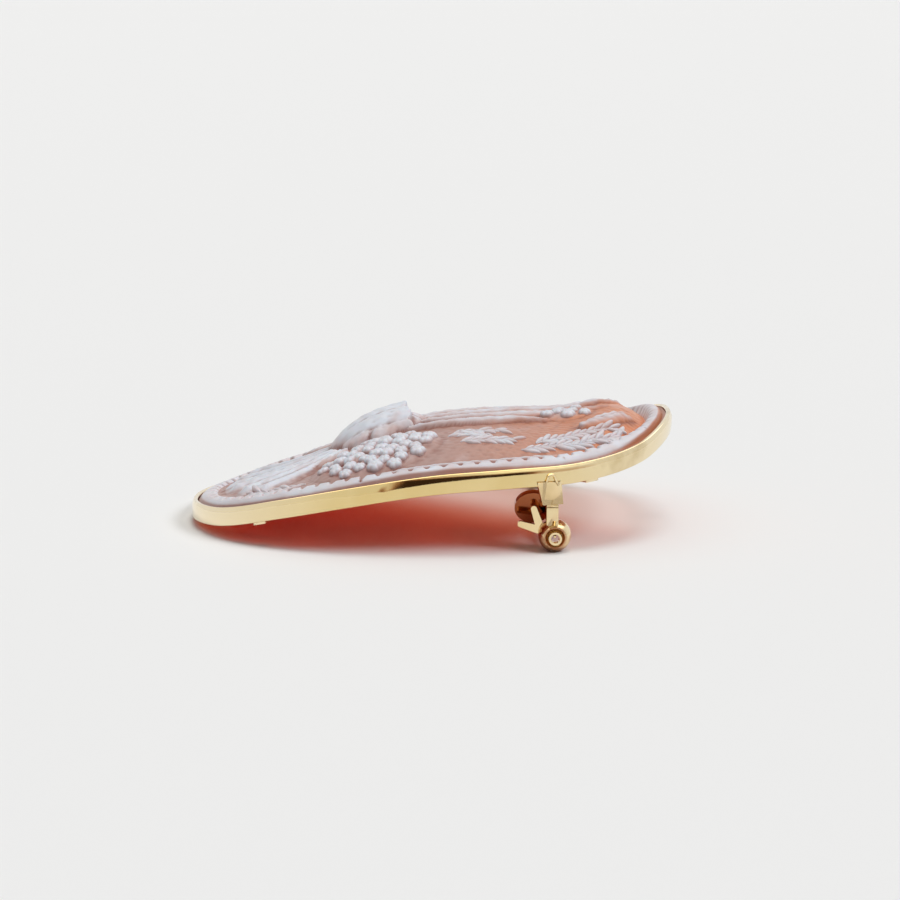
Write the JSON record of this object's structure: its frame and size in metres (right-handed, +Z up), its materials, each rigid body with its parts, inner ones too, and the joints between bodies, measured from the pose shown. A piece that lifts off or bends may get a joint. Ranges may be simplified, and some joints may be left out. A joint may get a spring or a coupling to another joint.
{
  "type": "cameo brooch",
  "caption": "Large oval carved shell cameo in a polished gold band, with a hinged pin and a turning ball catch under it, lying face up.",
  "frame": {"origin": "on the surface that the brooch rests on, under the middle of its outline", "axes": "+X towards the cameo's upper end, which lies higher; -Y is the catch's side; +Z up"},
  "size_m": [0.057, 0.0426, 0.0137],
  "materials": {
    "shell": "satin",
    "gold": "polished"
  },
  "bodies": {
    "plate": {"cameo_shell": "shell", "bezel": "gold", "hinge_rivet": "gold"},
    "catch": {"safety_catch": "gold"},
    "pin": {"brooch_pin": "gold"}
  },
  "joints": [
    {"name": "catch_turn", "type": "hinge", "parent": "plate", "child": "catch", "pos_m": [0.014, -0.0178, 0.00181], "axis": [0, -1, 0], "range_deg": [0, 75]},
    {"name": "pin_hinge", "type": "hinge", "parent": "plate", "child": "pin", "pos_m": [0.014, 0.01733, 0.00181], "axis": [1, 0, 0], "range_deg": [0, 100]}
  ]
}
